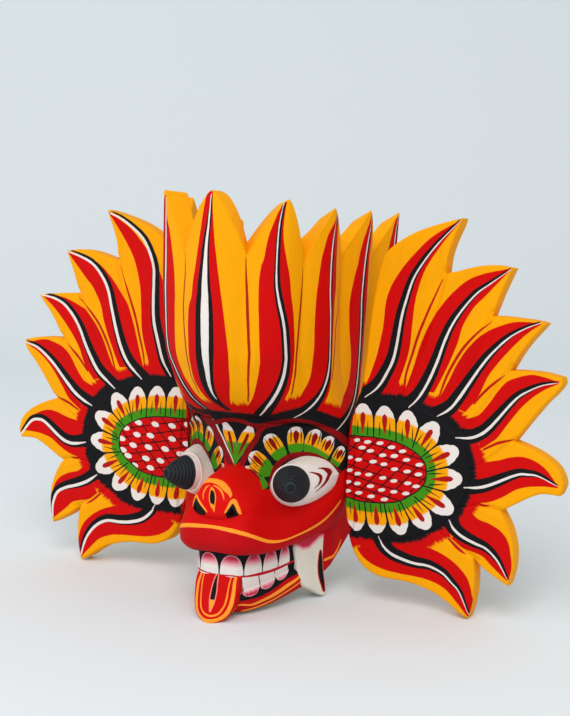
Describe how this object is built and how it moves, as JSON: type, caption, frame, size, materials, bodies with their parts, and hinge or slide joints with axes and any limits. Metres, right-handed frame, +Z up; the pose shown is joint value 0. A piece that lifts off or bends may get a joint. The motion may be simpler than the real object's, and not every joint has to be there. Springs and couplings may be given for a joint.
{
  "type": "fire demon mask",
  "caption": "Carved and painted wooden wall mask: a fanged demon face with its tongue out, bulging eyes, a tall crown of flames and a flat ear wing of flames on each side.",
  "frame": {"origin": "on the table, under the middle of the mask's box; the mask stands on the tongue's end and on the lowest flame of each wing", "axes": "the face looks along -Y, +Z is up, +X is the mask's side at the viewer's right; the wings and the back rim lean back by 4.7 degrees"},
  "size_m": [0.3808, 0.1466, 0.254],
  "materials": {
    "painted_head": "carved light wood, hand painted in semi-matt red, yellow, black, white and green",
    "painted_wings": "flat light-wood board, hand painted in semi-matt yellow, red, black, white and green"
  },
  "bodies": {
    "root": {"head": "painted_head", "ear_wing_left": "painted_wings", "ear_wing_right": "painted_wings"}
  },
  "joints": []
}
